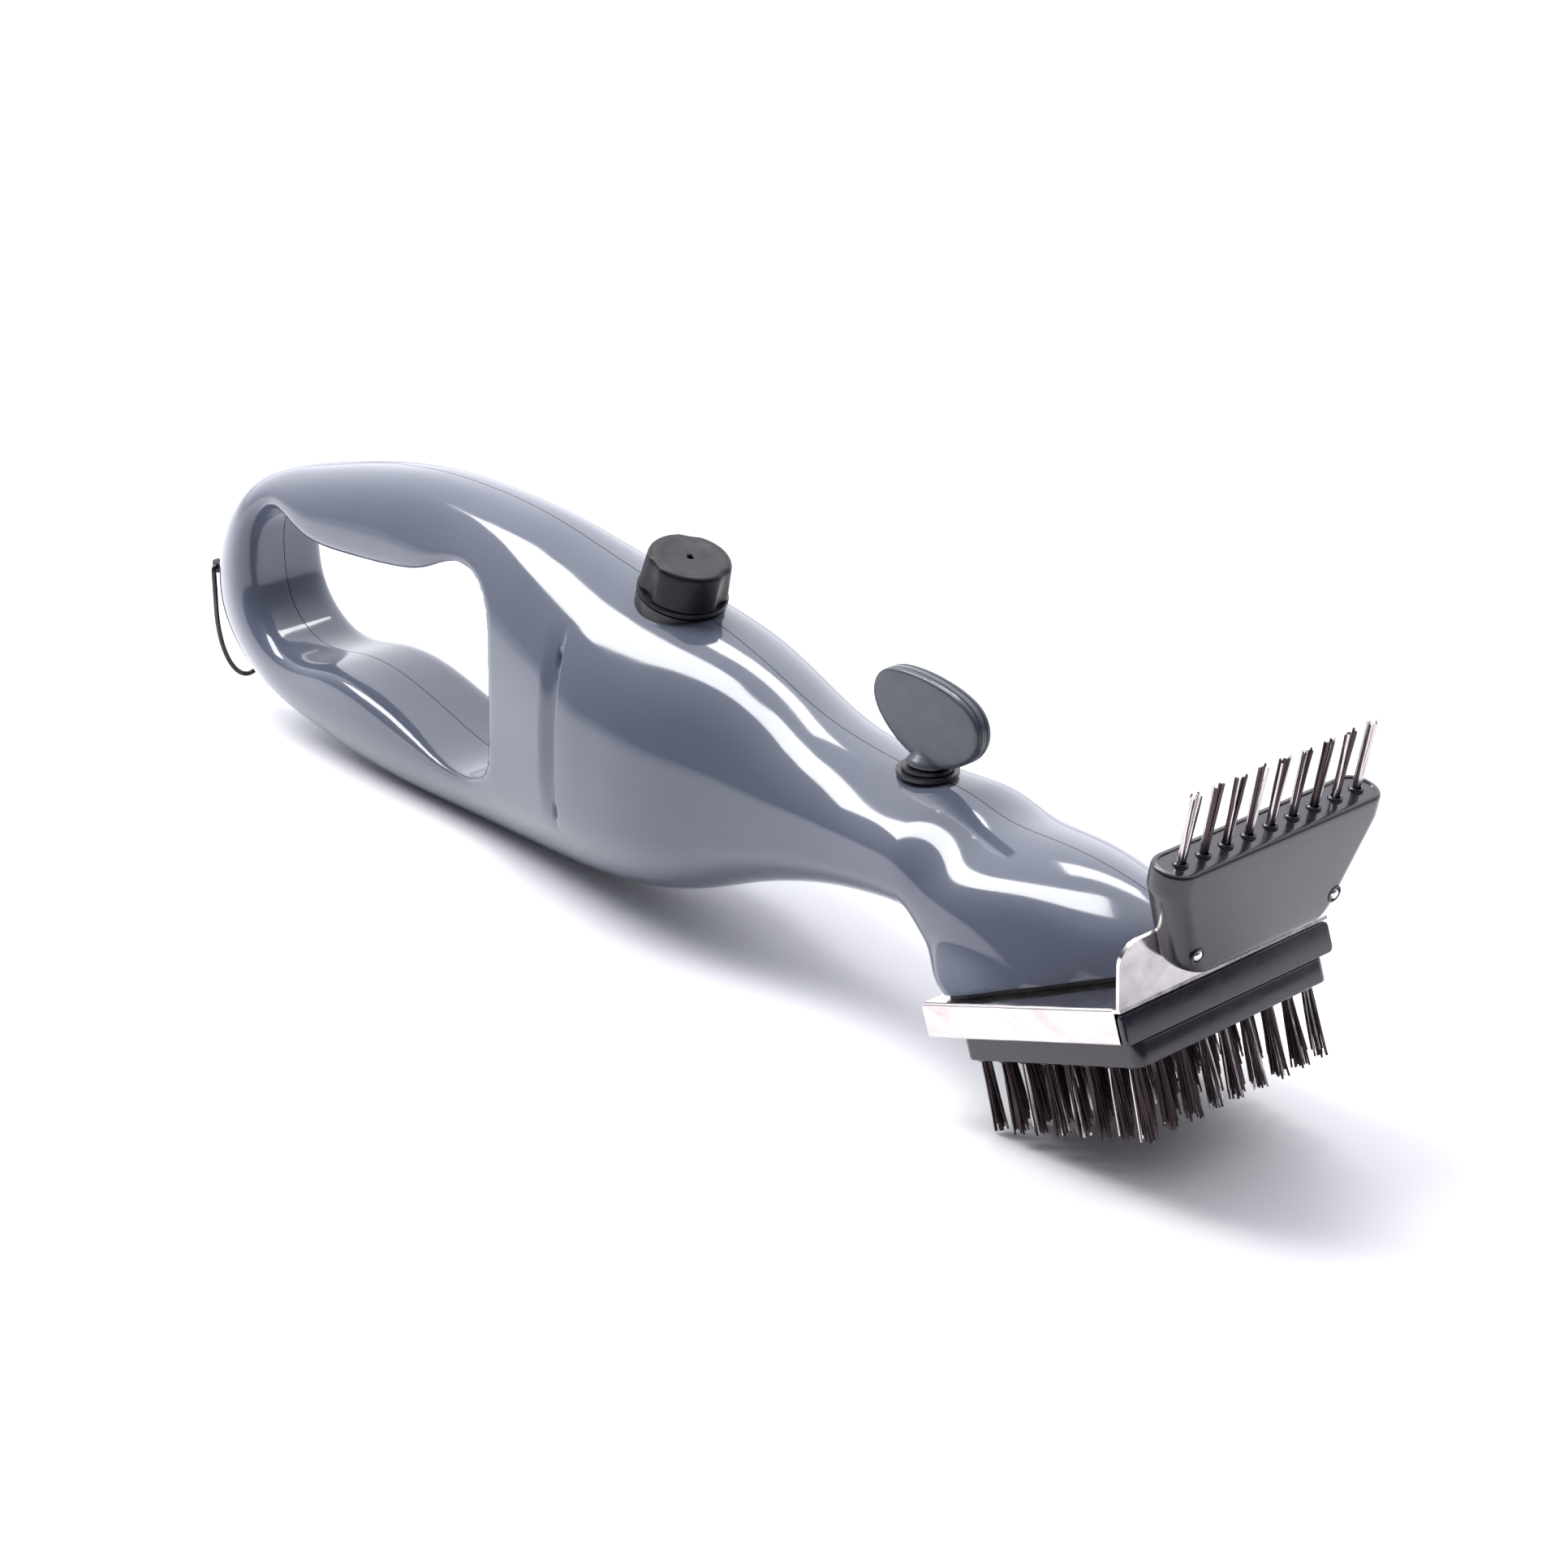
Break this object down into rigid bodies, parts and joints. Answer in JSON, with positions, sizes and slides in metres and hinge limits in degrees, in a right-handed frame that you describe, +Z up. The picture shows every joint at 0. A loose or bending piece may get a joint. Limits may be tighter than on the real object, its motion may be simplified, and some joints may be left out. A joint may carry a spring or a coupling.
{
  "type": "grill cleaning brush",
  "caption": "Grill brush with a water tank in its loop handle, filler cap, hand valve, steel steam plate, slide-in wide brush, narrow front brush and hanging loop.",
  "frame": {"origin": "under the middle of the bounding box, on the surface the brush rests on", "axes": "+X from the hanging loop to the brush head, +Y to the handle's left-hand side, +Z up while the brush rests on its lower grip and rear bristles"},
  "size_m": [0.4232, 0.0822, 0.1098],
  "materials": {
    "handle_plastic": "glossy blue-grey moulded plastic",
    "black_plastic": "black moulded plastic, satin",
    "grey_plastic": "grey moulded plastic, satin",
    "brush_plastic": "black moulded plastic, half gloss",
    "seal_rubber": "black rubber",
    "clear_tube": "pale silicone tube",
    "stainless_sheet": "polished stainless sheet",
    "stainless_screw": "bright stainless",
    "bristle_wire": "bright and dark steel wire",
    "loop_wire": "dark spring wire"
  },
  "bodies": {
    "handle": {"handle_shell_right": "handle_plastic", "handle_shell_left": "handle_plastic", "filler_neck": "black_plastic", "valve_body": "black_plastic", "valve_collar": "black_plastic", "head_closure": "black_plastic", "head_gasket": "seal_rubber", "outlet_tube": "clear_tube", "steam_plate": "stainless_sheet", "plate_screws": "stainless_screw", "loop_eyelets": "black_plastic"},
    "cap_carrier": {"cap_gasket": "seal_rubber", "cap_vent_valve": "seal_rubber"},
    "cap": {"fill_cap": "black_plastic"},
    "valve": {"valve_knob": "grey_plastic", "valve_stem": "grey_plastic", "stem_o_rings": "seal_rubber"},
    "large_brush": {"large_brush_block": "brush_plastic", "large_brush_tufts": "bristle_wire"},
    "small_brush": {"small_brush_block": "brush_plastic", "small_brush_tufts": "bristle_wire", "small_brush_pins": "stainless_screw"},
    "loop": {"hang_loop": "loop_wire"}
  },
  "joints": [
    {"name": "cap_lift", "type": "slide", "parent": "handle", "child": "cap_carrier", "axis": [0.2924, 0, 0.9563], "range_m": [0, 0.0076]},
    {"name": "cap_turn", "type": "hinge", "parent": "cap_carrier", "child": "cap", "pos_m": [0.001, 0, 0.0912], "axis": [0.2924, 0, 0.9563], "range_deg": [0, 450]},
    {"name": "valve_turn", "type": "hinge", "parent": "handle", "child": "valve", "pos_m": [0.0949, 0, 0.0715], "axis": [0, 0, 1], "range_deg": [0, 90]},
    {"name": "large_brush_slide", "type": "slide", "parent": "handle", "child": "large_brush", "axis": [0.9449, 0, 0.3272], "range_m": [0, 0.06]},
    {"name": "small_brush_slide", "type": "slide", "parent": "handle", "child": "small_brush", "axis": [0.1891, 0, 0.982], "range_m": [0, 0.012]},
    {"name": "loop_swing", "type": "hinge", "parent": "handle", "child": "loop", "pos_m": [-0.208, 0, 0.046], "axis": [0, 1, 0], "range_deg": [0, 150]}
  ],
  "couplings": [
    {"joint": "cap_lift", "follows": "cap_turn", "m_per_rad": 0.000955}
  ]
}
